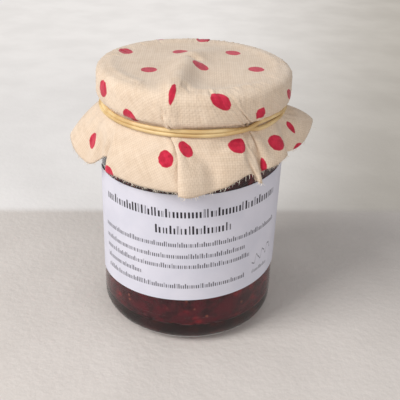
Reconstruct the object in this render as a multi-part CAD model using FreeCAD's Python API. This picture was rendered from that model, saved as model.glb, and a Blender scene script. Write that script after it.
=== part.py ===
import FreeCAD, Part
import os
from math import cos, hypot, pi, radians, sin, tan

# A small jam jar: straight round glass, jam, a paper label, a twist-off lid, a cloth
# cover over the lid, and a rubber band wound twice that grips the cloth under the lid.
# Millimetres, +Z up, origin at the centre of the foot, -Y is the front.

# Glass
body_r = 25.0
wall = 2.3
floor_thickness = 4.2
heel_round = 5.0
foot_inner_r = 16.4     # inner edge of the flat ring that the jar stands on
foot_push_up = 1.2      # hollow under the middle of the base
straight_top = 58.3     # where the straight wall ends and the shoulder starts
shoulder_rise = 3.4
shoulder_round = 3.0
neck_r = 23.1
neck_height = 4.5       # from the shoulder to the lid's lower edge
finish_r = 23.9         # the ring inside the lid
finish_start = 1.0      # above the lid's lower edge
finish_round = 0.3
mouth_r = 21.2
rim_round = 0.9

# Lid
lid_height = 6.8
lid_sheet = 0.4
lid_play = 0.25         # between the finish and the lid's wall
lid_top_round = 1.5
lid_curl_r = 0.45
lid_ring_width = 4.5    # raised ring round the sunken panel
lid_panel_drop = 0.5

# Jam
headspace = 8.6         # from the jam's surface up to the rim
inner_round = 4.5
fill_gap = 0.05         # all round the jam, inside the glass

# Label
label_length = 70.0
label_height = 32.0
label_paper = 0.15
label_glue = 0.05
label_low = 0.25        # how far its middle is below the middle of the straight wall
label_turn = 2.5        # degrees, towards +X
label_skew = 2.9        # degrees, the +X end sits higher

# Cloth cover
cloth = 0.5
cloth_gap = 0.3         # between the cloth and what it covers
column_step = 2.5       # degrees between the points of each closed curve that the cover is drawn over
cover_rings = 16        # how many such curves down to the skirt
skirt_rings = 12        # and how many in the skirt
grip = 1.4              # how far the cloth lies flat above and below the band's middle

# Rubber band
band_strand = 1.1       # thickness of one turn
band_overlap = 0.1      # how far the two turns press into each other
band_drop = 2.5         # from the lid's lower edge down to the band's middle
band_gap = 0.15
band_tilt = 1.0         # degrees, higher towards +X

# The skirt's folds, a row for each crest and each hollow of the hem: degrees round from the
# front, how far the hem stands out past the glass, how far it hangs below the rubber band.
folds = [
    (-172, 6.0, 14.7), (-158, 1.6, 11.7), (-142, 6.6, 16.2), (-128, 2.0, 12.7),
    (-100, 7.6, 16.9), (-78, 6.8, 18.2), (-60, 1.8, 15.2), (-34, 5.2, 15.1),
    (-16, 4.2, 14.7), (-3, 5.6, 15.3), (8, 1.6, 13.7), (21, 4.8, 13.7),
    (30, 2.0, 10.7), (37, 4.6, 14.1), (44, 2.0, 10.7), (58, 5.4, 10.5),
    (68, 3.6, 9.7), (90, 7.6, 10.7), (108, 2.4, 8.7), (122, 6.4, 13.2),
    (136, 1.8, 11.2), (150, 6.8, 14.7), (164, 1.8, 12.7),
]

# What follows from the sizes above
inner_r = body_r - wall
neck_bottom = straight_top + shoulder_rise
lid_bottom = neck_bottom + neck_height
lid_top = lid_bottom + lid_height
rim_z = lid_top - lid_sheet
jam_top = rim_z - headspace
lid_r = finish_r + lid_play + lid_sheet
band_z = lid_bottom - band_drop
cover_neck_r = neck_r + cloth_gap
label_middle_z = (heel_round + straight_top) / 2 - label_low
lid_edge_r = lid_r + lid_sheet / 2 + lid_curl_r
up = FreeCAD.Vector(0, 0, 1)
origin = FreeCAD.Vector(0, 0, 0)


def rounded_wire(corners):
    """A closed outline in the XZ plane from corners (r, z, rounding)."""
    edges, ends = [], []
    count = len(corners)
    for i, (r, z, size) in enumerate(corners):
        here = FreeCAD.Vector(r, 0, z)
        to_last = (FreeCAD.Vector(*flat(corners[i - 1])) - here).normalize()
        to_next = (FreeCAD.Vector(*flat(corners[(i + 1) % count])) - here).normalize()
        half = to_last.getAngle(to_next) / 2
        if size == 0:
            ends.append((here, here))
            continue
        start, end = (here + way * (size / tan(half)) for way in (to_last, to_next))
        middle = here + (to_last + to_next).normalize() * (size / sin(half) - size)
        edges.append(Part.Arc(start, middle, end).toShape())
        ends.append((start, end))
    for i in range(count):
        leave, arrive = ends[i][1], ends[(i + 1) % count][0]
        if leave.distanceToPoint(arrive) > 1e-6:
            edges.append(Part.LineSegment(leave, arrive).toShape())
    return Part.Wire(Part.__sortEdges__(edges))


def flat(corner):
    return corner[0], 0, corner[1]


def turned(corners):
    """The outline turned once round the Z axis."""
    return outward(Part.Face(rounded_wire(corners)).revolve(origin, up, 360))


def outward(solid):
    if solid.Volume < 0:
        solid.reverse()
    return solid


def cavity_side(gap):
    """The inside of the glass, from the floor's rounding up to the mouth, a gap inside the wall."""
    return [
        (inner_r - gap, floor_thickness + gap, inner_round - gap),
        (inner_r - gap, straight_top, shoulder_round - gap),
        (mouth_r - gap, neck_bottom, shoulder_round + gap),
    ]


def glass():
    outside = [
        (0, foot_push_up, 0),
        (foot_inner_r - 4 * foot_push_up, foot_push_up, 2 * foot_push_up),
        (foot_inner_r, 0, foot_push_up),
        (body_r, 0, heel_round),
        (body_r, straight_top, shoulder_round),
        (neck_r, neck_bottom, shoulder_round),
        (neck_r, lid_bottom + finish_start, finish_round),
        (finish_r, lid_bottom + finish_start + finish_r - neck_r, finish_round),
        (finish_r, rim_z, rim_round),
        (mouth_r, rim_z, rim_round),
    ]
    inside = list(reversed(cavity_side(0)))
    return turned(outside + inside + [(0, floor_thickness, 0)])


def jam():
    side = cavity_side(fill_gap)
    top_r = mouth_r - fill_gap
    return turned([(0, floor_thickness + fill_gap, 0), *side, (top_r, jam_top, 0), (0, jam_top, 0)])


def lid():
    panel_r = lid_r - lid_top_round - lid_ring_width
    under = lid_top - lid_sheet
    shell = turned([
        (0, lid_top - lid_panel_drop, 0),
        (panel_r, lid_top - lid_panel_drop, lid_panel_drop),
        (panel_r + lid_panel_drop, lid_top, lid_panel_drop),
        (lid_r, lid_top, lid_top_round),
        (lid_r, lid_bottom + lid_curl_r, 0),
        (lid_r - lid_sheet, lid_bottom + lid_curl_r, 0),
        (lid_r - lid_sheet, under, lid_top_round - lid_sheet),
        (panel_r + lid_panel_drop, under, lid_panel_drop),
        (panel_r, under - lid_panel_drop, lid_panel_drop),
        (0, under - lid_panel_drop, 0),
    ])
    curl = Part.makeTorus(lid_r + lid_sheet / 2, lid_curl_r, FreeCAD.Vector(0, 0, lid_bottom + lid_curl_r))
    return shell.fuse(curl).removeSplitter()


def label():
    """A paper rectangle wrapped on the glass, turned a little in its own surface."""
    skew = radians(label_skew)
    columns, rows = 24, 2

    def side(radius):
        grid = []
        for i in range(columns + 1):
            x = label_length * (i / columns - 0.5)
            strip = []
            for j in range(rows + 1):
                y = label_height * (j / rows - 0.5)
                turn = radians(label_turn) + (x * cos(skew) - y * sin(skew)) / body_r
                z = label_middle_z + x * sin(skew) + y * cos(skew)
                strip.append(FreeCAD.Vector(radius * sin(turn), -radius * cos(turn), z))
            grid.append(strip)
        surface = Part.BSplineSurface()
        surface.interpolate(grid)
        return surface.toShape()

    back, front = side(body_r + label_glue), side(body_r + label_glue + label_paper)
    edges = [Part.makeRuledSurface(a, b) for a, b in zip(back.Edges, front.Edges)]
    return closed_solid([back, front, *edges])


def closed_solid(faces):
    shell = Part.Shell(faces)
    shell.sewShape()
    return outward(Part.Solid(shell.Shells[0] if shell.ShapeType != "Shell" else shell))


def hem(angle):
    """The hem's reach and height at an angle, eased from each crest to the next hollow."""
    rows = [(folds[-1][0] - 360, *folds[-1][1:]), *folds, (folds[0][0] + 360, *folds[0][1:])]
    for (a0, r0, d0), (a1, r1, d1) in zip(rows, rows[1:]):
        if a0 <= angle <= a1:
            ease = (1 - cos(pi * (angle - a0) / (a1 - a0))) / 2
            return body_r + r0 + (r1 - r0) * ease, band_z - d0 - (d1 - d0) * ease
    raise ValueError(angle)


def cover_profile(angle):
    """The cover's inner line at one angle: over the lid, in under it, and out down the skirt."""
    lift = neck_r * sin(radians(angle)) * tan(radians(band_tilt))
    edge_r = lid_r - lid_top_round
    edge_z = lid_top - lid_top_round
    bend = lid_top_round + cloth_gap
    curl_r = lid_edge_r + cloth_gap
    line = []
    for step in range(5):
        t = radians(90 - 22.5 * step)
        line.append((edge_r + bend * cos(t), edge_z + bend * sin(t)))
    line.append(((line[-1][0] + curl_r) / 2, (edge_z + lid_bottom) / 2 + lid_curl_r))
    line.append((curl_r, lid_bottom + lid_curl_r))
    line.append((lid_edge_r - lid_curl_r / 2, lid_bottom - cloth_gap))
    line.append((cover_neck_r, band_z + lift + grip))
    start = (cover_neck_r, band_z + lift - grip)
    line.append(start)
    skirt = [start]
    reach, height = hem(angle)
    turn = (start[0] + 0.55 * (reach - start[0]), start[1] - 0.06 * (start[1] - height))
    fall = (reach, height + 0.5 * (start[1] - height))
    steps = 12
    for step in range(1, steps + 1):
        t = step / steps
        weights = ((1 - t) ** 3, 3 * t * (1 - t) ** 2, 3 * t * t * (1 - t), t ** 3)
        points = (start, turn, fall, (reach, height))
        skirt.append(tuple(sum(w * p[k] for w, p in zip(weights, points)) for k in (0, 1)))
    return evenly_spaced(line, cover_rings) + evenly_spaced(skirt, skirt_rings + 1)[1:]


def evenly_spaced(line, count):
    """Points at equal steps along a line of straight pieces."""
    lengths = [hypot(r1 - r0, z1 - z0) for (r0, z0), (r1, z1) in zip(line, line[1:])]
    spaced, piece, before = [], 0, 0
    for i in range(count):
        goal = sum(lengths) * i / (count - 1)
        while piece < len(lengths) - 1 and before + lengths[piece] < goal:
            before += lengths[piece]
            piece += 1
        share = (goal - before) / lengths[piece]
        (r0, z0), (r1, z1) = line[piece:piece + 2]
        spaced.append((r0 + share * (r1 - r0), z0 + share * (z1 - z0)))
    return spaced


def pushed_out(line, distance):
    """The same line moved along its normal in the section plane. It starts level, at the flat top."""
    moved = [(line[0][0], line[0][1] + distance)]
    for i in range(1, len(line)):
        (r0, z0), (r1, z1) = line[i - 1], line[min(i + 1, len(line) - 1)]
        along = hypot(r1 - r0, z1 - z0)
        moved.append((line[i][0] - distance * (z1 - z0) / along, line[i][1] + distance * (r1 - r0) / along))
    return moved


def skin(distance):
    """One side of the cloth, drawn over closed curves that run round the jar from the top to the hem."""
    count = int(360 / column_step)
    angles = [column_step * i - 180 for i in range(count)]
    lines = [pushed_out(cover_profile(angle), distance) for angle in angles]
    rings = []
    for level in range(len(lines[0])):
        points = []
        for angle, line in zip(angles, lines):
            r, z = line[level]
            points.append(FreeCAD.Vector(r * sin(radians(angle)), -r * cos(radians(angle)), z))
        ring = Part.BSplineCurve()
        ring.interpolate(Points=points, PeriodicFlag=True, Parameters=[i / count for i in range(count + 1)])
        rings.append(Part.Wire(ring.toShape()))
    return Part.makeLoft(rings, False, False).Faces[0]


def rim_edge(face, top):
    """The face's closed edge that lies highest, or lowest."""
    loops = [edge for edge in face.Edges if edge.isClosed()]
    return sorted(loops, key=lambda edge: edge.CenterOfMass.z)[-1 if top else 0]


def cloth_cover():
    inner, outer = skin(0), skin(cloth)
    faces = [inner, outer]
    faces += [Part.Face(Part.Wire(rim_edge(side, True))) for side in (inner, outer)]
    faces.append(Part.makeRuledSurface(rim_edge(inner, False), rim_edge(outer, False)))
    return closed_solid(faces)


def rubber_band():
    strand_r = band_strand / 2
    ring_r = cover_neck_r + cloth + band_gap + strand_r
    apart = band_strand - band_overlap
    turns = [Part.makeTorus(ring_r, strand_r, FreeCAD.Vector(0, 0, shift * apart / 2)) for shift in (-1, 1)]
    band = turns[0].fuse(turns[1]).removeSplitter()
    band.rotate(origin, FreeCAD.Vector(0, 1, 0), -band_tilt)
    band.translate(FreeCAD.Vector(0, 0, band_z))
    return band


os.makedirs("parts", exist_ok=True)
nodes = {
    "jar_glass": glass, "jam": jam, "lid": lid, "label": label,
    "cloth_cover": cloth_cover, "rubber_band": rubber_band,
}
for name, make in nodes.items():
    shape = make()
    shape = shape.Solids[0] if shape.ShapeType != "Solid" else shape
    shape.exportStep(f"parts/{name}.step")
    box = shape.optimalBoundingBox(True, False)
    print(f"{name}: valid {shape.isValid()}, {shape.Volume:.1f} mm3,"
          f" x {box.XMin:.2f} to {box.XMax:.2f}, y {box.YMin:.2f} to {box.YMax:.2f},"
          f" z {box.ZMin:.2f} to {box.ZMax:.2f}")
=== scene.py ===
import math
import random

import bmesh
import bpy
from mathutils import Matrix, Vector, noise


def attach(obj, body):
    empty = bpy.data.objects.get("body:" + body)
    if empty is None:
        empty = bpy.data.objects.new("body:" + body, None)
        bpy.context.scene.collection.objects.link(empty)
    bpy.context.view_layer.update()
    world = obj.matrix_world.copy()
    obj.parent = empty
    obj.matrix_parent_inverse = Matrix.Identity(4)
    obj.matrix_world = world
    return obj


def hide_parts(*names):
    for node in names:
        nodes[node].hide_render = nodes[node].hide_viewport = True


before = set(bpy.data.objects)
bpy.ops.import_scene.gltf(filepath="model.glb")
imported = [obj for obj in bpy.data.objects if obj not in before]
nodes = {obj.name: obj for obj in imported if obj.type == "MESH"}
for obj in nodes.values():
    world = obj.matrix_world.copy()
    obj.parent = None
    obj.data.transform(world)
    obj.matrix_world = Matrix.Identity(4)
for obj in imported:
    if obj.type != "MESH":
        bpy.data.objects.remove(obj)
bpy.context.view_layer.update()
mm = 0.001
print("frame loaded")


def colour(red, green, blue):
    # 0 to 255 as a screen shows it, to the linear values that a shader takes
    shares = [c / 255 for c in (red, green, blue)]
    return (*[c / 12.92 if c < 0.04 else ((c + 0.055) / 1.055) ** 2.4 for c in shares], 1)


def around(angle, radius, height=0.0):
    # degrees from the front, towards +X
    turn = math.radians(angle)
    return Vector((radius * math.sin(turn), -radius * math.cos(turn), height))


def eased(share):
    # 0 to 1 with a soft start and end
    share = min(1.0, max(0.0, share))
    return share * share * (3 - 2 * share)


def ramped(share, start, length):
    # the same, from a start over a length
    return eased((share - start) / length)


def bell(distance):
    # 1 at no distance, and soft down to nothing
    return math.exp(-distance ** 2)


def linked(name, data):
    made = bpy.data.objects.new(name, data)
    bpy.context.scene.collection.objects.link(made)
    return made


def onlySelected(piece=None):
    if bpy.context.object and bpy.context.object.mode != "OBJECT":
        bpy.ops.object.mode_set(mode="OBJECT")
    bpy.ops.object.select_all(action="DESELECT")
    if piece:
        piece.select_set(True)
        bpy.context.view_layer.objects.active = piece


def dressed(piece, material):
    piece.data.materials.clear()
    piece.data.materials.append(material)


def settled(piece, name, material):
    # place, turn and scale go into the mesh
    onlySelected(piece)
    bpy.ops.object.transform_apply(location=True, rotation=True, scale=True)
    piece.name = piece.data.name = name
    dressed(piece, material)


def modified(piece, kind, **settings):
    onlySelected(piece)
    modifier = piece.modifiers.new(kind.title(), kind)
    for key, value in settings.items():
        setattr(modifier, key, value)
    bpy.ops.object.modifier_apply(modifier=modifier.name)


def meshed(piece, chosen):
    # picks elements in edit mode; chosen takes the bmesh
    bpy.ops.mesh.select_all(action="DESELECT")
    chosen(bmesh.from_edit_mesh(piece.data))
    bmesh.update_edit_mesh(piece.data)


class Wire:
    # a node's output, which takes part in Python sums
    def __init__(self, tree, socket=None):
        self.tree, self.socket = tree, socket

    def node(self, kind, settings=None, inputs=None, out=0):
        made = self.tree.nodes.new(kind)
        for key, value in (settings or {}).items():
            setattr(made, key, value)
        for key, value in (inputs or {}).items():
            if isinstance(value, Wire):
                self.tree.links.new(value.socket, made.inputs[key])
            else:
                made.inputs[key].default_value = value
        return Wire(self.tree, made.outputs[out])

    def maths(self, operation, *values):
        return self.node("ShaderNodeMath", {"operation": operation}, dict(enumerate(values)))

    def __add__(self, other):
        return self.maths("ADD", self, other)

    def __radd__(self, other):
        return self.maths("ADD", other, self)

    def __sub__(self, other):
        return self.maths("SUBTRACT", self, other)

    def __rsub__(self, other):
        return self.maths("SUBTRACT", other, self)

    def __mul__(self, other):
        return self.maths("MULTIPLY", self, other)

    def __rmul__(self, other):
        return self.maths("MULTIPLY", other, self)

    def __truediv__(self, other):
        return self.maths("DIVIDE", self, other)

    def __gt__(self, other):
        return self.maths("GREATER_THAN", self, other)

    def least(self, other):
        return self.maths("MINIMUM", self, other)

    def most(self, other):
        return self.maths("MAXIMUM", self, other)

    def size(self):
        return self.maths("ABSOLUTE", self)

    def sine(self):
        return self.maths("SINE", self)

    def between(self, low, high, toLow=0.0, toHigh=1.0):
        # a soft step from low to high
        settings = {"interpolation_type": "SMOOTHSTEP"}
        inputs = {0: self, 1: low, 2: high, 3: toLow, 4: toHigh}
        return self.node("ShaderNodeMapRange", settings, inputs)

    def below(self, low, high):
        # the same step downwards
        return self.between(low, high, 1.0, 0.0)

    def blend(self, first, second):
        # this value picks between two colours
        return self.node("ShaderNodeMix", {"data_type": "RGBA"}, {0: self, 6: first, 7: second}, out=2)

    def parts(self):
        made = self.node("ShaderNodeSeparateXYZ", None, {0: self}).socket.node
        return [Wire(self.tree, socket) for socket in made.outputs]

    def joined(self, x, y, z=0.0):
        return self.node("ShaderNodeCombineXYZ", None, {0: x, 1: y, 2: z})

    def vectors(self, operation, inputs, out=0):
        return self.node("ShaderNodeVectorMath", {"operation": operation}, inputs, out)

    def clouds(self, vector, scale, detail=3.0, roughness=0.5):
        inputs = {"Vector": vector, "Scale": scale, "Detail": detail, "Roughness": roughness}
        return self.node("ShaderNodeTexNoise", None, inputs)

    def cells(self, vector, scale):
        # distance to the nearest of many scattered points
        inputs = {"Vector": vector, "Scale": scale, "Randomness": 1.0}
        return self.node("ShaderNodeTexVoronoi", None, inputs)

    def bumped(self, height, depth):
        # depth is a strength and a distance in metres
        inputs = {"Height": height, "Strength": depth[0], "Distance": depth[1]}
        return self.node("ShaderNodeBump", None, inputs)

    def millimetres(self):
        # the place on the object
        place = self.node("ShaderNodeTexCoord", None, None, out=3)
        return self.vectors("SCALE", {0: place, "Scale": 1000.0})


def newMaterial(name, **constants):
    material = bpy.data.materials.new(name)
    material.use_nodes = True
    shader = material.node_tree.nodes["Principled BSDF"]
    for key, value in constants.items():
        shader.inputs[key.replace("_", " ")].default_value = value
    return material, Wire(material.node_tree), shader


def plug(shader, **fields):
    for key, value in fields.items():
        value.tree.links.new(value.socket, shader.inputs[key.replace("_", " ")])


# The camera stands in front and looks down at the jar: place and lens in millimetres, turns in degrees.
camera = {
    "place": (0.0, -179.4, 128.4), "yaw": 0.9155, "pitch": 28.069, "roll": 2.2816,
    "lens": 63.0, "sensor": 36.0, "nearest": 0.01,
}


def makeCamera():
    yaw, pitch, roll = (math.radians(camera[key]) for key in ("yaw", "pitch", "roll"))
    ahead = Vector((math.sin(yaw) * math.cos(pitch), math.cos(yaw) * math.cos(pitch), -math.sin(pitch)))
    right = ahead.cross(Vector((0, 0, 1))).normalized()
    up = right.cross(ahead)
    across = math.cos(roll) * right + math.sin(roll) * up
    along = -math.sin(roll) * right + math.cos(roll) * up
    data = bpy.data.cameras.new("camera")
    data.lens, data.sensor_width, data.clip_start = camera["lens"], camera["sensor"], camera["nearest"]
    made = linked("camera", data)
    turned = Matrix((across, along, -ahead)).transposed().to_4x4()
    made.matrix_world = Matrix.Translation(Vector(camera["place"]) * mm) @ turned
    bpy.context.scene.camera = made


makeCamera()

# The floor has a near tone and, past an edge, a far one. Edge distances are in millimetres, the rest in
# metres and watts.
room = {
    "floorSize": 8.0, "floorColour": (216, 208, 201), "mottle": 4, "mottleSize": 0.03,
    "grainSize": 0.5, "bump": (0.25, 0.0010),
    # farShadow is a painted shadow: towards the right the far tone darkens to it, where the jar's soft shadow
    # falls on the wall
    "farColour": (236, 232, 229), "farShadow": (188, 182, 173),
    "farEdge": 53.0, "farBlur": 3.0, "farSlope": 0.06,
    "shadeEye": 180.0, "shadeSpan": (-0.02, 0.34),      # the far tone darkens between two lines of sight
    "glowReach": 260, "glow": (0.45, 0.95),
    "key": {"place": (-0.44, -0.27, 0.43), "size": 0.34, "power": 3.5},
    "fill": {"place": (0.30, -0.45, 0.30), "size": 0.5, "power": 0.8},
    "aim": (0, 0, 0.04), "sky": 0.42, "shine": 0.16, "skyColour": (248, 249, 252),
}


def rayKinds(wires):
    # 1 for what is seen directly or through clear glass, and 1 for what is seen as a reflection;
    # both are 0 for the light that falls on the jar
    path = wires.node("ShaderNodeLightPath").socket.node
    names = ("Is Camera Ray", "Is Transmission Ray", "Is Glossy Ray")
    direct, through, mirrored = (Wire(wires.tree, path.outputs[name]) for name in names)
    return direct.most(through), mirrored


def makeFloor():
    onlySelected()
    bpy.ops.mesh.primitive_plane_add(size=room["floorSize"], location=(0, 0, 0))
    floor = bpy.context.object
    material, wires, shader = newMaterial("floor", Roughness=0.85)
    place = wires.millimetres()
    x, y = place.parts()[:2]
    mottle = wires.clouds(place, room["mottleSize"], 4.0).between(0.3, 0.7)
    darker, paler = (lambda c: c - room["mottle"]), (lambda c: c + room["mottle"])
    near, pale, dim = [
        mottle.blend(colour(*map(darker, room[key])), colour(*map(paler, room[key])))
        for key in ("floorColour", "farColour", "farShadow")]
    # painted shadow: the far tone darkens to the right, where the jar shades the wall, and the glow below
    # carries this painted shadow too
    backdrop = (x / (y + room["shadeEye"])).between(*room["shadeSpan"]).blend(pale, dim)
    far = (y - x * room["farSlope"]).between(
        room["farEdge"] - room["farBlur"], room["farEdge"] + room["farBlur"])
    grain = wires.clouds(place, room["grainSize"], 5.0)
    plug(shader, Base_Color=far.blend(near, backdrop), Normal=wires.bumped(grain, room["bump"]))
    # the far part glows where it is seen, so that it stays pale
    glow = wires.node("ShaderNodeEmission", None, {"Color": backdrop, "Strength": 1.0})
    seen = far * (y - room["farEdge"]).between(0, room["glowReach"], *room["glow"])
    shares = {0: seen * rayKinds(wires)[0], 1: Wire(wires.tree, shader.outputs[0]), 2: glow}
    mixed = wires.node("ShaderNodeMixShader", None, shares)
    wires.tree.links.new(mixed.socket, wires.tree.nodes["Material Output"].inputs["Surface"])
    settled(floor, "floor", material)


def makeLights():
    for name in ("key", "fill"):
        data = bpy.data.lights.new(name, "AREA")
        data.size, data.energy = room[name]["size"], room[name]["power"]
        lamp = linked(name, data)
        lamp.location = room[name]["place"]
        towards = Vector(room["aim"]) - lamp.location
        lamp.rotation_euler = towards.to_track_quat("-Z", "Y").to_euler()
    world = bpy.data.worlds.new("sky")
    world.use_nodes = True
    wires = Wire(world.node_tree)
    background = world.node_tree.nodes["Background"]
    seen, mirrored = rayKinds(wires)
    shade = seen.blend(colour(*room["skyColour"]), colour(*room["farColour"]))
    power = seen * (1.0 - room["sky"]) - mirrored * (room["sky"] - room["shine"]) + room["sky"]
    wires.tree.links.new(shade.socket, background.inputs["Color"])
    wires.tree.links.new(power.socket, background.inputs["Strength"])
    bpy.context.scene.world = world
    bpy.context.scene.view_settings.view_transform = "Standard"


makeFloor()
makeLights()
print("camera and room")

# Glass, lid and label keep their CAD shapes.
# In every material a size is how many patches a millimetre holds, and a bump is a strength and a depth.
glass = {
    "tint": (246, 250, 248), "bend": 1.5, "smear": 0.03, "smearSize": 0.05, "rippleSize": 0.09,
    "bump": (0.05, 0.001),
}


def makeGlass():
    material, wires, shader = newMaterial(
        "jarGlass", Transmission_Weight=1.0, IOR=glass["bend"], Base_Color=colour(*glass["tint"]))
    place = wires.millimetres()
    ripple = wires.clouds(place, glass["rippleSize"], 2.0)
    smear = wires.clouds(place, glass["smearSize"], 2.0)
    plug(shader, Normal=wires.bumped(ripple, glass["bump"]),
         Roughness=smear.between(0.6, 0.85, 0.0, glass["smear"]))
    dressed(nodes["jar_glass"], material)


lid = {
    "colour": (196, 190, 178), "worn": (150, 146, 138), "wearSize": 0.35, "brushSize": 2.5,
    "polish": 0.28, "wornRougher": 0.25, "brushRougher": 0.06, "bump": (0.2, 0.00005),
}


def makeLid():
    material, wires, shader = newMaterial("lidMetal", Metallic=0.9, Coat_Weight=0.5, Coat_Roughness=0.15)
    place = wires.millimetres()
    wear = wires.clouds(place, lid["wearSize"], 5.0, 0.65).between(0.55, 0.75)
    brushed = wires.clouds(place, lid["brushSize"], 2.0)
    plug(shader, Base_Color=wear.blend(colour(*lid["colour"]), colour(*lid["worn"])),
         Roughness=wear * lid["wornRougher"] + lid["polish"] + brushed * lid["brushRougher"],
         Normal=wires.bumped(brushed, lid["bump"]))
    dressed(nodes["lid"], material)


# The label lies on the glass: radius and height of its middle in millimetres, turn and skew in degrees.
label = {
    "wrapRadius": 25.2, "middle": 31.4, "turn": 2.5, "skew": 2.9,
    "paper": (218, 216, 226), "shade": (209, 208, 219), "ink": (38, 34, 42), "mottleSize": 0.09,
    "fibreSize": 1.6, "smooth": 0.55, "fibreRougher": 0.2, "bump": (0.15, 0.0001),
}
# Hatched bars stand in for the lines of print. Each has the height of its foot above the label's
# middle, its own height, where it starts and ends, the distance between uprights and between gaps, a
# seed and a darkness.
printRows = [
    (9.4, 1.75, -27.8, 26.6, 0.98, 9.5, 0.3, 1.0),
    (4.6, 1.75, -10.2, 10.4, 0.98, 7.0, 2.7, 1.0),
    (0.7, 1.05, -29.2, 27.4, 0.58, 7.5, 4.1, 0.88),
    (-2.8, 1.05, -29.2, 14.8, 0.58, 6.4, 5.9, 0.88),
    (-5.9, 1.05, -29.0, 16.6, 0.58, 5.6, 8.2, 0.88),
    (-9.0, 1.05, -28.8, -14.5, 0.58, 9.0, 9.4, 0.88),
    (-12.2, 1.05, -28.6, 15.0, 0.58, 6.1, 11.3, 0.88),
    (-12.4, 0.85, 17.8, 24.6, 0.52, 9.0, 13.9, 0.7),
]
bars = {
    "shortShare": 0.74, "taller": 0.42,         # how many uprights are short, and how far the rest rise
    "upright": (-0.45, 0.15), "foot": 0.09, "edge": 0.1, "gap": (0.5, 0.65), "uneven": 0.75,
}
scribble = {
    "from": 22.0, "down": 7.6, "climb": 0.24, "waves": ((2.3, 1.1), (4.9, 0.35)),
    "line": (0.1, 0.3), "middle": 22.2, "half": (4.4, 4.6), "dark": 0.7,
}


def barRow(wires, across, upward, row):
    # one line of print as a hatched bar with gaps in it
    base, height, start, end, stroke, gaps, seed, dark = row
    edge, foot = bars["edge"], bars["foot"]
    column = wires.maths("FLOOR", across / stroke) + seed
    chance = wires.node("ShaderNodeTexWhiteNoise", {"noise_dimensions": "1D"}, {"W": column})
    low = upward - base
    upright = (across * (math.tau / stroke)).sine().between(*bars["upright"])
    raised = low - (chance > bars["shortShare"]) * (height * bars["taller"])
    inRow = low.between(-foot, foot) * raised.below(height - edge, height + edge)
    inside = (across - start).between(-edge, edge) * (across - end).below(-edge, edge)
    words = wires.node("ShaderNodeTexVoronoi", {"voronoi_dimensions": "1D", "feature": "DISTANCE_TO_EDGE"},
                       {"W": across / gaps + seed, "Randomness": bars["uneven"]})
    gapStart, gapEnd = (stroke * share / gaps for share in bars["gap"])
    return inRow * upright * inside * words.between(gapStart, gapEnd) * dark


def scribbled(across, upward):
    # a plain wavy line where something was written by hand
    (fast, tall), (faster, low) = scribble["waves"]
    wave = (across * fast).sine() * tall + (across * faster).sine() * low
    climb = (across - scribble["from"]) * scribble["climb"]
    line = (upward + scribble["down"] - climb - wave).size().below(*scribble["line"])
    return line * (across - scribble["middle"]).size().below(*scribble["half"]) * scribble["dark"]


def makeLabel():
    material, wires, shader = newMaterial("labelPaper", Specular_IOR_Level=0.35)
    x, y, z = wires.millimetres().parts()
    wrap = label["wrapRadius"]
    arc = wires.maths("ARCTAN2", x, y * -1.0) * wrap - math.radians(label["turn"]) * wrap
    rise = z - label["middle"]
    lean = math.radians(label["skew"])
    across = arc * math.cos(lean) + rise * math.sin(lean)
    upward = rise * math.cos(lean) - arc * math.sin(lean)
    inked = scribbled(across, upward)
    for row in printRows:
        inked = inked.most(barRow(wires, across, upward, row))
    sheet = wires.joined(across, upward)
    fibre = wires.clouds(sheet, label["fibreSize"], 4.0, 0.6)
    mottle = wires.clouds(sheet, label["mottleSize"], 3.0)
    paper = mottle.between(0.3, 0.7).blend(colour(*label["paper"]), colour(*label["shade"]))
    plug(shader, Base_Color=inked.blend(paper, colour(*label["ink"])),
         Roughness=label["smooth"] + fibre * label["fibreRougher"],
         Normal=wires.bumped(fibre, label["bump"]))
    dressed(nodes["label"], material)


makeGlass()
makeLid()
makeLabel()
print("glass, lid and label")

# The jam fills the glass: sizes in millimetres, and how big its pulp, patches, cells and seeds are.
jam = {
    "radius": 22.72, "bottom": 4.18, "top": 64.0, "sides": 128, "round": 4.4, "roundSteps": 6,
    "creepRings": (0.6, 1.6, 4.0, 5.0, 5.0), "creepDepth": 0.12, "smoothUnder": 40,
    "dark": (70, 0, 20), "middle": (108, 2, 30), "bright": (176, 18, 38), "seed": (176, 84, 66),
    "pulp": 0.33, "patches": 0.16, "cells": 0.42, "seeds": 0.36, "seedPatches": 0.12, "seedShare": 0.7,
    "smooth": 0.15, "pulpRougher": 0.3, "cellRise": 0.2, "bump": (0.25, 0.0004),
}


def jamMaterial():
    material, wires, shader = newMaterial("jamFruit", Specular_IOR_Level=0.05)
    place = wires.millimetres()
    warp = wires.clouds(place, jam["patches"], 3.0)
    pulp = wires.clouds(place, jam["pulp"], 5.0, 0.62)
    cells = wires.cells(place, jam["cells"])
    tone = pulp.between(0.38, 0.62).blend(colour(*jam["dark"]), colour(*jam["middle"]))
    patch = warp.between(0.52, 0.68) * cells.below(0.1, 0.75)
    tone = patch.blend(tone, colour(*jam["bright"]))
    seedy = wires.clouds(place, jam["seedPatches"], 1.0).between(0.5, 0.6)
    seedMask = wires.cells(place, jam["seeds"]).below(0.12, 0.22) * seedy
    tone = (seedMask * jam["seedShare"]).blend(tone, colour(*jam["seed"]))
    plug(shader, Base_Color=tone, Roughness=pulp * jam["pulpRougher"] + jam["smooth"],
         Normal=wires.bumped(pulp + cells * jam["cellRise"], jam["bump"]))
    return material


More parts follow.
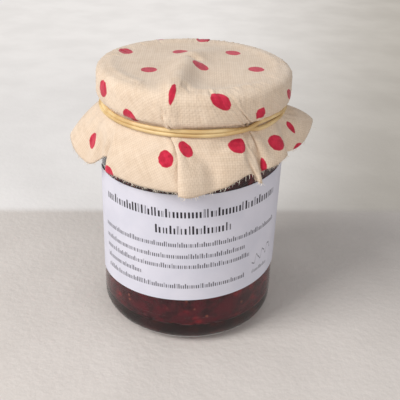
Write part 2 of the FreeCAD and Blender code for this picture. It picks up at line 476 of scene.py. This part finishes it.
def makeJam():
    onlySelected()
    height = (jam["top"] - jam["bottom"]) * mm
    bpy.ops.mesh.primitive_cylinder_add(
        vertices=jam["sides"], radius=jam["radius"] * mm, depth=height,
        location=(0, 0, jam["bottom"] * mm + height / 2))
    piece = bpy.context.object

    def footEdges(mesh):
        for edge in mesh.edges:
            edge.select_set(all(vertex.co.z < 0 for vertex in edge.verts))

    def topFace(mesh):
        for face in mesh.faces:
            face.select_set(face.normal.z > 0.9)

    bpy.ops.object.mode_set(mode="EDIT")
    meshed(piece, footEdges)
    bpy.ops.mesh.bevel(offset=jam["round"] * mm, segments=jam["roundSteps"], affect="EDGES")
    meshed(piece, topFace)
    for step in jam["creepRings"]:      # the surface creeps up a little where it meets the glass
        bpy.ops.mesh.inset(thickness=step * mm, depth=-jam["creepDepth"] * mm)
    bpy.ops.object.mode_set(mode="OBJECT")
    bpy.ops.object.shade_smooth_by_angle(angle=math.radians(jam["smoothUnder"]))
    settled(piece, "jamFill", jamMaterial())
    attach(piece, "root")
    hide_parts("jam")


makeJam()
print("jam")

# The cloth cover's shape, in millimetres and degrees.
cover = {
    "neckRadius": 23.55, "bandHeight": 63.7, "bandTilt": 1.0, "lidTop": 73.0, "lift": 0.3,
    # rings on the lid: radius and number of points
    "topRings": ((2, 40), (4, 40), (6, 120), (8, 120), (10, 120), (12, 120), (14, 360), (16, 360),
                 (18, 360), (20, 360), (22, 360)),
    "edgeRings": 13, "skirtRings": 14, "columns": 360, "curveSteps": 24,
    "bandAt": 35.5,             # along the flat cloth from the lid's middle to the band
    "thick": 0.34,
    # from the lid's top edge in to the band, as radius and height
    "edgeLine": ((22.0, 73.3), (23.6, 73.3), (24.6, 73.0), (25.1, 72.4), (25.35, 71.2), (25.4, 69.0),
                 (25.5, 66.8), (25.5, 65.9), (24.7, 65.0), (23.75, 64.4), (23.55, 63.7)),
    # how the skirt leaves the neck: share of its length that stays close, then its line out and down
    "close": 0.06, "out": (0.40, 0.78), "down": (0.22, 0.6), "taken": 0.97,
    # between the lid's top and the band, as a start and a length: where the cloth turns to its
    # gathers, goes aslant with the band, follows the side ridges and loses most of them again
    "turning": (0.15, 0.85), "aslant": (0.6, 0.4), "ridging": (0.1, 0.4), "easing": (0.8, 0.2),
    "ridgeLoss": 0.7, "topReach": 0.45,
}

# The gathers in order round the jar. Each has the angle it is held at under the band, the angle of the
# hem, how far out the hem stands and how long the cloth is from the band to its cut edge.
gathers = [
    (-58, -62, 25.7, 12.8), (-49, -54, 25.4, 12.6), (-45, -49, 28.2, 15.2), (-40, -42, 29.2, 15.2),
    (-30, -29, 29.4, 15.4), (-20, -15, 29.0, 15.6), (-14, -5, 28.3, 15.6), (-11, 1, 27.8, 15.6),
    (-14, -4, 29.2, 15.8), (-13, -7, 30.6, 16.2), (-9, -1, 31.4, 16.8), (-4, 6, 30.4, 15.8),
    (2, 11, 28.8, 15.0), (10, 17, 29.6, 14.4), (21, 24, 29.2, 13.0), (28, 29, 28.2, 12.2),
    (31, 30, 27.0, 12.6), (32, 34, 29.0, 15.6), (35, 38, 27.4, 14.6), (34, 43, 26.5, 12.4),
    (34, 41, 28.2, 11.8), (41, 48, 29.6, 11.6), (51, 57, 30.2, 10.8), (60, 66, 28.0, 11.2),
    (67, 75, 30.4, 11.8), (74, 84, 32.8, 11.8), (82, 95, 33.0, 11.6), (88, 103, 30.0, 12.2),
    (92, 108, 26.9, 12.6),
]
backGathers = {
    "band": (92.0, 236.0), "hem": (108.0, 242.0), "crests": 12, "low": 26.5, "high": 32.4,
    "length": (12.6, 16.0), "uneven": 0.18, "stray": (-0.6, 0.8), "seed": 11,
}
leftFlap = [
    (-118, -113, 29.0, 15.6), (-107, -102, 33.0, 14.8), (-97, -91, 34.2, 15.4), (-85, -81, 32.8, 16.8),
    (-74, -75, 30.6, 17.2), (-66, -69, 28.6, 16.2),
]
# Soft ridges that the gathers throw up the lid's side: angle, height, width in degrees.
sideRidges = [
    (-12, 1.4, 3.0), (-5, -0.1, 4.0), (-18.5, 0.35, 1.6), (-23, 0.4, 1.7), (-28, 0.35, 1.6), (33, 0.55, 2.2),
    (41, 0.65, 2.0), (-47, 0.3, 2.5), (-62, 0.25, 3.0), (-78, 0.15, 2.6), (58, 0.3, 2.4), (72, 0.2, 3.0),
]
backRidges = {"from": 85, "height": 0.3, "wide": 5.0}
# A slack fold runs across the lid and fades towards the back, with a hollow beside it.
topRidge = {
    "line": ((-5.2, -26), (-4.2, -19), (-2.6, -6.5), (-0.4, 4.5), (4.2, 12)), "height": 2.4, "width": 3.5,
    "fadeFrom": 1, "fadeOver": 14, "fade": 0.8, "hollow": (4.5, -13.0), "depth": 0.7, "hollowWidth": 7.0,
}


def allGathers():
    # the unseen back has even gathers, a little irregular
    chance = random.Random(backGathers["seed"])
    rows = list(gathers)
    count = backGathers["crests"] * 2
    (bandStart, bandEnd), (start, end) = backGathers["band"], backGathers["hem"]
    shortest, longest = backGathers["length"]
    for i in range(1, count):
        share = (i + chance.uniform(-backGathers["uneven"], backGathers["uneven"])) / count
        reach = backGathers["high" if i % 2 else "low"] + chance.uniform(*backGathers["stray"])
        rows.append((bandStart + (bandEnd - bandStart) * share, start + (end - start) * share, reach,
                     shortest + (longest - shortest) * share))
    return rows + [(band + 360, hem + 360, reach, length) for band, hem, reach, length in leftFlap]


def curvePoint(values, position):
    # a smooth value through a closed list, at a position that counts its rows
    count = len(values)
    i, t = int(math.floor(position)), position - math.floor(position)
    a, b, c, d = (values[(i + k) % count] for k in (-1, 0, 1, 2))
    return 0.5 * (2 * b + (c - a) * t + (2 * a - 5 * b + 4 * c - d) * t * t + (3 * b - a - 3 * c + d) * t ** 3)


def drapePlan():
    # every column of the cloth: its angle at the band, its angle at the hem, the hem's reach and length
    rows = allGathers()
    count, fine = len(rows), cover["curveSteps"]
    bands = [row[0] - 360 * i / count for i, row in enumerate(rows)]      # turned to closed lists
    hems = [row[1] - 360 * i / count for i, row in enumerate(rows)]
    reaches, cuts = [row[2] for row in rows], [row[3] for row in rows]
    samples, lengths = [], [0.0]
    for k in range(count * fine + 1):
        position = k / fine
        samples.append((curvePoint(bands, position) + 360 * position / count,
                        curvePoint(hems, position) + 360 * position / count,
                        curvePoint(reaches, position), curvePoint(cuts, position)))
        if k:
            here, last = (around(s[1], s[2]) for s in (samples[k], samples[k - 1]))
            lengths.append(lengths[-1] + (here - last).length)
    columns, at = [], 0
    for i in range(cover["columns"]):
        goal = lengths[-1] * i / cover["columns"]
        while lengths[at + 1] < goal:
            at += 1
        share = (goal - lengths[at]) / (lengths[at + 1] - lengths[at])
        columns.append([a + share * (b - a) for a, b in zip(samples[at], samples[at + 1])])
    print("hem drawn over", round(lengths[-1], 1), "mm")
    return columns


def bandLift(angle):
    # the band lies a little aslant
    slope = math.tan(math.radians(cover["bandTilt"]))
    return cover["neckRadius"] * math.sin(math.radians(angle)) * slope


def overLid(share):
    # a place along the cloth's line over the lid's edge, as radius and height
    line = cover["edgeLine"]
    lengths = [0.0]
    for (r0, z0), (r1, z1) in zip(line, line[1:]):
        lengths.append(lengths[-1] + math.hypot(r1 - r0, z1 - z0))
    goal = share * lengths[-1]
    for i in range(len(line) - 1):
        if lengths[i + 1] >= goal - 1e-9:
            part = (goal - lengths[i]) / (lengths[i + 1] - lengths[i])
            return [a + part * (b - a) for a, b in zip(line[i], line[i + 1])]


def topHeight(x, y):
    here, nearest = Vector((x, y)), math.inf
    for start, end in zip(topRidge["line"], topRidge["line"][1:]):
        a, b = Vector(start), Vector(end)
        share = min(1.0, max(0.0, (here - a).dot(b - a) / (b - a).length_squared))
        nearest = min(nearest, (here - a.lerp(b, share)).length)
    fade = 1 - topRidge["fade"] * ramped(y, topRidge["fadeFrom"], topRidge["fadeOver"])
    hollow = (here - Vector(topRidge["hollow"])).length / topRidge["hollowWidth"]
    return topRidge["height"] * fade * bell(nearest / topRidge["width"]) - topRidge["depth"] * bell(hollow)


def sideBulge(angle, share):
    # how far the lid's side stands out at an angle; the hidden back has ridges too
    angle = (angle + 180) % 360 - 180
    total = sum(size * bell((angle - at) / wide) for at, size, wide in sideRidges)
    if abs(angle) > backRidges["from"]:
        total += backRidges["height"] * noise.noise(Vector((angle / backRidges["wide"], 0, 0)))
    lost = cover["ridgeLoss"] * ramped(share, *cover["easing"])
    return total * ramped(share, *cover["ridging"]) * (1 - lost)


def edgePlace(u, band, share):
    # a point between the lid's top and the band; it turns in to its gather on the way down
    radius, height = overLid(share)
    angle = u + (band - u) * ramped(share, *cover["turning"])
    lift = bandLift(angle) * ramped(share, *cover["aslant"])
    place = around(angle, radius + sideBulge(angle, share), height + lift)
    place.z += topHeight(place.x, place.y) * (1 - ramped(share, 0, cover["topReach"]))
    return place


def skirtPlace(column, share):
    # a point between the band and the hem, on a curve that leaves the neck just below the band
    band, hem, reach, length = column
    close, out = cover["close"], reach - cover["neckRadius"]
    drop = math.sqrt(max(1.0, length ** 2 - out ** 2)) * cover["taken"]
    free = max(0.0, (share - close) / (1 - close))
    b, c, d = 3 * free * (1 - free) ** 2, 3 * free * free * (1 - free), free ** 3
    radius = b * cover["out"][0] * out + c * cover["out"][1] * out + d * out
    sunk = b * cover["down"][0] + c * cover["down"][1] + d
    fall = close * drop * min(1, share / close) + (1 - close) * drop * sunk
    angle = band + (hem - band) * (1 - (1 - share) ** 2)
    return around(angle, cover["neckRadius"] + radius, cover["bandHeight"] + bandLift(band) - fall)


def makeClothPoints():
    # two sets of points: the cloth as cut, flat, and the cloth gathered round the neck
    plan = drapePlan()
    count, topRings, bandAt = cover["columns"], cover["topRings"], cover["bandAt"]
    resting = cover["lidTop"] + cover["lift"]
    flatAngle = [360.0 * i / count for i in range(count)]
    middle = sum(f - c[0] for f, c in zip(flatAngle, plan)) / count
    flatAngle = [f - middle for f in flatAngle]
    flat, posed = [Vector((0, 0, 0))], [Vector((0, 0, resting))]
    for radius, points in topRings:
        for u in flatAngle[::count // points]:
            flat.append(around(u, radius))
            posed.append(around(u, radius, resting))
            posed[-1].z += topHeight(posed[-1].x, posed[-1].y)
    first = topRings[-1][0]
    for k in range(1, cover["edgeRings"] + 1):
        share = k / cover["edgeRings"]
        for u, column in zip(flatAngle, plan):
            flat.append(around(u, first + (bandAt - first) * share))
            posed.append(edgePlace(u, column[0], share))
    for k in range(1, cover["skirtRings"] + 1):
        share = k / cover["skirtRings"]
        for u, column in zip(flatAngle, plan):
            flat.append(around(u, bandAt + column[3] * share))
            posed.append(skirtPlace(column, share))
    return flat, posed


def ringFaces(counts):
    # closed rings from the middle out; where a ring has three times the points of the last, each
    # coarse edge meets three fine ones
    faces = [(0, 1 + i, 1 + (i + 1) % counts[0]) for i in range(counts[0])]
    start = 1
    for count, finer in zip(counts, counts[1:]):
        after, times = start + count, finer // count
        for i in range(count):
            j, a = (i + 1) % count, after + i * times
            if times == 1:
                faces.append((start + i, a, after + j, start + j))
            else:
                b, c, d = a + 1, a + 2, after + (i * 3 + 3) % finer
                faces += [(start + i, a, b), (start + i, b, c, start + j), (start + j, c, d)]
        start = after
    return faces


# The cloth is simulated at twenty times its size, where Blender's solver is steady. The core is the jar
# and lid as plain turned shapes, in radius and height.
solver = {
    "scale": 20.0, "frames": 22, "gravity": 0.12, "shapeHold": 0.12, "sideHold": 0.4,
    "quality": 5, "mass": 0.25, "air": 2.0, "stretch": 25, "shear": 10, "bend": 2.0,
    "stretchDamping": 15, "shearDamping": 8, "bendDamping": 1.0,
    "touchQuality": 2, "touchGap": 0.006, "selfFriction": 5, "coreFriction": 8,
    "coreSides": 96, "coreOuter": 0.005, "coreInner": 0.05,
    "core": ((0.01, 0), (25.0, 0), (25.0, 58.3), (24.3, 60.4), (23.1, 61.9), (23.1, 66.2),
             (25.2, 66.4), (25.25, 71.5), (24.7, 72.6), (23.6, 73.0), (0.01, 73.0)),
}


def makeCore():
    segments, profile = solver["coreSides"], solver["core"]
    points, faces = [], []
    for radius, height in profile:
        points += [around(360 * i / segments, radius, height) * mm * solver["scale"] for i in range(segments)]
    for ring in range(len(profile) - 1):
        for i in range(segments):
            a, b = ring * segments + i, ring * segments + (i + 1) % segments
            faces.append((a, b, b + segments, a + segments))
    mesh = bpy.data.meshes.new("core")
    mesh.from_pydata(points, [], faces)
    core = linked("core", mesh)
    core.modifiers.new("Collision", "COLLISION")
    core.collision.thickness_outer = solver["coreOuter"]
    core.collision.thickness_inner = solver["coreInner"]
    core.collision.cloth_friction = solver["coreFriction"]
    return core


def simulated(piece, pinned):
    core = makeCore()
    modifier = piece.modifiers.new("Cloth", "CLOTH")
    cloth, touch = modifier.settings, modifier.collision_settings
    cloth.quality, cloth.mass, cloth.air_damping = solver["quality"], solver["mass"], solver["air"]
    cloth.tension_stiffness = cloth.compression_stiffness = solver["stretch"]
    cloth.shear_stiffness, cloth.bending_stiffness = solver["shear"], solver["bend"]
    cloth.tension_damping = cloth.compression_damping = solver["stretchDamping"]
    cloth.shear_damping, cloth.bending_damping = solver["shearDamping"], solver["bendDamping"]
    cloth.vertex_group_mass, cloth.pin_stiffness = pinned, 1.0
    cloth.rest_shape_key = piece.data.shape_keys.key_blocks["cut"]
    cloth.effector_weights.gravity = solver["gravity"]
    touch.use_collision, touch.use_self_collision = True, True
    touch.collision_quality, touch.self_friction = solver["touchQuality"], solver["selfFriction"]
    touch.distance_min = touch.self_distance_min = solver["touchGap"]
    scene = bpy.context.scene
    modifier.point_cache.frame_start, modifier.point_cache.frame_end = 1, solver["frames"]
    scene.frame_start, scene.frame_end = 1, solver["frames"]
    for step in range(1, solver["frames"] + 1):
        scene.frame_set(step)
    depsgraph = bpy.context.evaluated_depsgraph_get()
    mesh = bpy.data.meshes.new_from_object(piece.evaluated_get(depsgraph))
    scene.frame_set(1)
    bpy.data.objects.remove(core)
    return mesh


def draped(piece, flat, last, bandStart):
    # The cloth settles from its posed shape, held on the lid and under the band, and loosely towards
    # its pose between and below.
    piece.shape_key_add(name="posed")
    cut = piece.shape_key_add(name="cut")
    for point, place in zip(cut.data, flat):
        point.co = place * mm * solver["scale"]
    cut.value = 0.0
    group = piece.vertex_groups.new(name="held")
    top = 1 + sum(points for radius, points in cover["topRings"][:-1])
    group.add(list(range(top, bandStart)), solver["sideHold"], "REPLACE")
    group.add(list(range(bandStart, len(flat))), solver["shapeHold"], "REPLACE")
    bandRings = range(bandStart, bandStart + 2 * cover["columns"])
    group.add([*range(top), *bandRings], 1.0, "REPLACE")
    mesh = simulated(piece, group.name)
    bpy.data.objects.remove(piece)
    return linked("clothCover", mesh)


clothPrint = {
    "cream": (229, 208, 185), "shade": (216, 193, 168), "gap": (178, 150, 124), "light": (234, 215, 194),
    "ink": (204, 42, 70), "inkDark": (180, 28, 56),
    "weave": 1.15,              # two threads
    "uvSpan": 120,              # flat millimetres across the UV square
    "dotSize": 2.1, "dotEdge": 0.12, "wobbleSize": 0.9, "wobble": 0.5,
    "slubStretch": 0.16, "threadHigh": 0.3, "overHigh": 0.5, "slubHigh": 0.9, "bump": (0.55, 0.00012),
    "gapShare": 0.35, "mottleSize": 0.12, "lightShare": 0.3, "rough": 0.82, "slubRougher": 0.1,
}
# Where printed dots lie on the flat cloth, in millimetres from the lid's middle. They aren't evenly spaced.
frontDots = [
    (-19, 8), (-4, 9.5), (10.5, 10.5), (-11.5, -7), (1.5, -4.5), (16, -3.5), (5.5, -25.5),
    (-24.5, -14), (-21, -24.5), (-19, -39), (-5.5, -40.5), (6.5, -40), (22, -36),
    (-42, -20), (-37.5, -34.5), (34.5, -34),
]
# Half lost in a fold: the place, half the width that shows and how far its long way is turned.
tuckedDots = [(-5, -24.5, 0.75, 0), (15.5, -26, 0.85, -50), (18.5, -42.5, 0.8, 0), (30.5, -28.5, 1.0, 0)]
# The rest follow rows and columns that keep clear of the dots above and of the front.
dotLattice = {
    "across": 14.6, "row": 12.6, "start": (-4, 9.5), "rows": (-5, 6), "columns": (-4, 5), "apart": 10.5,
    "stray": 1.2, "furthest": 56, "behind": -12, "beside": 24, "seed": 3,
}


def roundDots():
    chance = random.Random(dotLattice["seed"])
    tucked = [spot[:2] for spot in tuckedDots]
    spots = frontDots + tucked
    for row in range(*dotLattice["rows"]):
        for step in range(*dotLattice["columns"]):
            left, low = dotLattice["start"]
            x = (step + 0.5 * (row % 2)) * dotLattice["across"] + left
            x += chance.uniform(-1, 1) * dotLattice["stray"]
            y = row * dotLattice["row"] + low + chance.uniform(-1, 1) * dotLattice["stray"]
            clear = all(math.hypot(x - a, y - b) > dotLattice["apart"] for a, b in spots)
            unseen = y > dotLattice["behind"] or abs(x) > dotLattice["beside"]
            if clear and unseen and math.hypot(x, y) < dotLattice["furthest"]:
                spots.append((x, y))
    return [spot for spot in spots if spot not in tucked]


def dotDistance(wires, place):
    # how far a place on the flat cloth is from the nearest dot's middle
    def apart(spot):
        return wires.vectors("DISTANCE", {0: place, 1: (*spot, 0)}, out=1)

    first, *others = roundDots()
    nearest = apart(first)
    for spot in others:
        nearest = nearest.least(apart(spot))
    size = clothPrint["dotSize"]
    for x, y, shown, turn in tuckedDots:
        # two large circles overlap in a narrow lens
        bend = (shown ** 2 + size ** 2) / (2 * shown)
        turned = Matrix.Rotation(math.radians(turn), 2)
        across = turned @ Vector((-y, x)).normalized() * (bend - shown)
        sides = [apart(Vector((x, y)) + side) for side in (across, -across)]
        nearest = nearest.least(sides[0].most(sides[1]) - bend + size)
    return nearest


def clothMaterial():
    material, wires, shader = newMaterial(
        "dottedCotton", Specular_IOR_Level=0.2, Sheen_Weight=0.25, Sheen_Roughness=0.5)
    uv = wires.node("ShaderNodeUVMap", {"uv_map": "flatCloth"})
    span, pitch = clothPrint["uvSpan"], clothPrint["weave"]
    place = wires.vectors("MULTIPLY_ADD", {0: uv, 1: (span, span, 0), 2: (-span / 2, -span / 2, 0)})
    x, y = place.parts()[:2]
    stretch, rise = clothPrint["slubStretch"], clothPrint["threadHigh"]
    warpSlub = wires.clouds(wires.joined(x / pitch, y * stretch), 1.0, 2.0)
    weftSlub = wires.clouds(wires.joined(x * stretch, y / pitch, 7.0), 1.0, 2.0)
    warp = (x * (math.tau / pitch)).sine()
    weft = (y * (math.tau / pitch)).sine()
    over = (warp * weft).between(-1.0, 1.0)
    height = over * clothPrint["overHigh"] + warp.size() * rise + weft.size() * rise
    height = height + warpSlub * clothPrint["slubHigh"] + weftSlub * clothPrint["slubHigh"]
    slubs = (warpSlub + weftSlub) * 0.5
    mottle = wires.clouds(place, clothPrint["mottleSize"], 4.0)
    gaps = 1 - warp.size().least(weft.size()).between(0.05, 0.5)
    tone = slubs.between(0.3, 0.7).blend(colour(*clothPrint["shade"]), colour(*clothPrint["cream"]))
    tone = (gaps * clothPrint["gapShare"]).blend(tone, colour(*clothPrint["gap"]))
    tone = (mottle.between(0.35, 0.7) * clothPrint["lightShare"]).blend(tone, colour(*clothPrint["light"]))
    strength = clothPrint["wobble"]
    wobble = wires.clouds(place, clothPrint["wobbleSize"], 2.0) * strength - strength / 2
    size, edge = clothPrint["dotSize"], clothPrint["dotEdge"]
    inked = (dotDistance(wires, place) + wobble).below(size - edge, size + edge)
    ink = slubs.between(0.4, 0.6).blend(colour(*clothPrint["inkDark"]), colour(*clothPrint["ink"]))
    plug(shader, Base_Color=inked.blend(tone, ink),
         Roughness=slubs * clothPrint["slubRougher"] + clothPrint["rough"],
         Normal=wires.bumped(height, clothPrint["bump"]))
    return material


def makeCover():
    flat, posed = makeClothPoints()
    count = cover["columns"]
    rings = cover["edgeRings"] + cover["skirtRings"]
    counts = [points for radius, points in cover["topRings"]] + [count] * rings
    last = len(flat) - count                                    # where the hem's points start
    bandStart = last - count * cover["skirtRings"]
    mesh = bpy.data.meshes.new("clothCover")
    mesh.from_pydata([p * (mm * solver["scale"]) for p in posed], [], ringFaces(counts))
    uv, span = mesh.uv_layers.new(name="flatCloth"), clothPrint["uvSpan"]
    for loop in mesh.loops:
        place = flat[loop.vertex_index]
        uv.data[loop.index].uv = (place.x / span + 0.5, place.y / span + 0.5)
    piece = linked("clothCover", mesh)
    piece = draped(piece, flat, last, bandStart)
    points = piece.data.vertices
    for vertex in points:
        vertex.co = vertex.co / solver["scale"]
    outline = flat[last:]
    area = abs(sum(a.x * b.y - b.x * a.y for a, b in zip(outline, outline[1:] + outline[:1]))) / 2
    hem, inner = ([points[start + i].co.copy() for i in range(count)] for start in (last, last - count))
    modified(piece, "SUBSURF", levels=1, render_levels=1)
    modified(piece, "SOLIDIFY", thickness=cover["thick"] * mm, offset=0.0)
    for face in piece.data.polygons:
        face.use_smooth = True
    dressed(piece, clothMaterial())
    return piece, area, hem, inner


# Loose thread ends along the raw edge, in millimetres.
threads = {
    "count": 1000, "length": (0.35, 1.3), "short": 0.6, "shortShare": 0.7, "radius": 0.065, "root": 0.15,
    "sides": 4, "joints": 4, "lean": (0.35, 0.3), "curl": 0.5, "taper": 0.5, "seed": 4,
    "colour": (238, 226, 208), "light": (248, 238, 222), "tintSize": 1.5,
}


def makeThreads(hem, inner):
    chance = random.Random(threads["seed"])
    sides, joints = threads["sides"], threads["joints"]
    points, faces = [], []
    count = len(hem)
    for n in range(threads["count"]):
        place = chance.random() * count
        i, t = int(place), place % 1
        root = hem[i].lerp(hem[(i + 1) % count], t)
        out = (root - inner[i].lerp(inner[(i + 1) % count], t)).normalized()
        along = (hem[(i + 1) % count] - hem[i]).normalized()
        side = out.cross(along).normalized()
        full = chance.uniform(*threads["length"])
        long = full * (threads["short"] if chance.random() < threads["shortShare"] else 1.0) * mm
        lean = along * chance.gauss(0, threads["lean"][0]) + side * chance.gauss(0, threads["lean"][1])
        curl = along * chance.gauss(0, threads["curl"]) + side * chance.gauss(0, threads["curl"])
        start = len(points)
        for j in range(joints):
            share = j / (joints - 1)
            away = (out + lean * share + curl * share * share) * long * share
            centre = root - out * threads["root"] * mm + away
            width = threads["radius"] * mm * (1 - threads["taper"] * share)
            for k in range(sides):
                turn = math.tau * k / sides
                points.append(centre + (along * math.cos(turn) + side * math.sin(turn)) * width)
        for j in range(joints - 1):
            for k in range(sides):
                a, b = start + j * sides + k, start + j * sides + (k + 1) % sides
                faces.append((a, b, b + sides, a + sides))
        faces.append(tuple(start + k for k in reversed(range(sides))))
        faces.append(tuple(start + (joints - 1) * sides + k for k in range(sides)))
    mesh = bpy.data.meshes.new("hemThreads")
    mesh.from_pydata(points, [], faces)
    piece = linked("hemThreads", mesh)
    material, wires, shader = newMaterial("looseThread", Roughness=0.9, Sheen_Weight=0.3)
    tint = wires.clouds(wires.millimetres(), threads["tintSize"], 2.0).between(0.3, 0.7)
    plug(shader, Base_Color=tint.blend(colour(*threads["colour"]), colour(*threads["light"])))
    dressed(piece, material)
    return piece


clothCover, clothArea, hemLine, innerLine = makeCover()
hemThreads = makeThreads(hemLine, innerLine)
for piece in (clothCover, hemThreads):
    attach(piece, "root")
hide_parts("cloth_cover")
clothArea * mm * mm
print("cloth cover, flat area", round(clothArea), "mm2")

# The elastic band is one loop wound twice round the neck. Sizes are in millimetres, and places along a
# turn are shares of it, counted from where the two turns cross.
band = {
    "radius": 24.6, "thick": 1.1, "steps": 360, "sides": 14, "drawRadius": 0.1,
    "crossing": 29.0,           # degrees from the front
    "swap": 0.035, "over": 0.42, "proud": 0.25, "apart": 0.50,
    "fork": {"more": 0.42, "end": 0.13, "closing": 0.09, "opening": 0.05},
    "pinch": {"at": 0.72, "wide": 0.07, "closer": 0.16, "tuck": 0.25},
    "square": 0.90, "twist": 0.5, "twists": 1.5, "near": 0.002,
    "colour": (232, 204, 150), "deep": (206, 172, 116), "streakSize": 0.15, "dustSize": 0.8,
    "smooth": 0.3, "dustRougher": 0.25, "bump": (0.2, 0.0002),
}


def bandLine(turns):
    # the middle of the band, as turns runs from 0 to 2 over the whole loop
    fork, pinch = band["fork"], band["pinch"]
    angle, share = band["crossing"] + 360 * turns, turns % 1.0
    upper = 1 if turns < 1 else -1
    leaving = share < 0.5
    swap = eased((share if leaving else 1 - share) / band["swap"])
    pinched = bell((share - pinch["at"]) / pinch["wide"])
    opened = eased((fork["end"] - share) / fork["closing"]) * eased(share / fork["opening"])
    apart = band["apart"] + fork["more"] * opened - pinch["closer"] * pinched
    over = band["over"] * upper * (1 - swap) * (1 if leaving else -1)
    radius = band["radius"] + over + band["proud"] * (1 - swap) - pinch["tuck"] * upper * pinched
    return around(angle, radius, cover["bandHeight"] + bandLift(angle) + upper * apart * swap) * mm


def bandPlace(point):
    # a point of the plain ring, moved on to the band's line; a cut band is nearly square in section
    angle = math.atan2(point.y, point.x)
    turns = 2 * angle / math.tau % 2
    ringward = Vector((math.cos(angle), math.sin(angle), 0))
    offset = point - ringward * band["drawRadius"]
    outward, upward = offset.dot(ringward), offset.z
    fit = band["square"] * math.hypot(outward, upward) / (outward ** 4 + upward ** 4) ** 0.25
    outward, upward = outward * fit, upward * fit
    here = bandLine(turns)
    near = band["near"]
    ahead = (bandLine((turns + near) % 2) - bandLine((turns - near) % 2)).normalized()
    radial = Vector((here.x, here.y, 0)).normalized()
    rise = ahead.cross(radial)
    if rise.z < 0:
        rise = -rise
    twist = band["twist"] * math.sin(math.tau * turns * band["twists"])
    sidewards = outward * math.cos(twist) - upward * math.sin(twist)
    upwards = outward * math.sin(twist) + upward * math.cos(twist)
    return here + radial * sidewards + rise * upwards


def makeBand():
    onlySelected()
    bpy.ops.mesh.primitive_torus_add(
        major_segments=band["steps"], minor_segments=band["sides"], major_radius=band["drawRadius"],
        minor_radius=band["thick"] / 2 * mm)
    piece = bpy.context.object
    for vertex in piece.data.vertices:
        vertex.co = bandPlace(vertex.co)
    bpy.ops.object.shade_smooth()
    bpy.ops.object.mode_set(mode="EDIT")
    bpy.ops.mesh.select_all(action="SELECT")
    bpy.ops.mesh.normals_make_consistent(inside=False)
    bpy.ops.object.mode_set(mode="OBJECT")
    material, wires, shader = newMaterial("bandRubber", Specular_IOR_Level=0.5)
    place = wires.millimetres()
    dust = wires.clouds(place, band["dustSize"], 4.0)
    streak = wires.clouds(place, band["streakSize"], 2.0).between(0.35, 0.65)
    plug(shader, Base_Color=streak.blend(colour(*band["colour"]), colour(*band["deep"])),
         Roughness=dust * band["dustRougher"] + band["smooth"],
         Normal=wires.bumped(dust, band["bump"]))
    settled(piece, "elasticBand", material)
    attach(piece, "root")
    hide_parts("rubber_band")


makeBand()
print("rubber band")
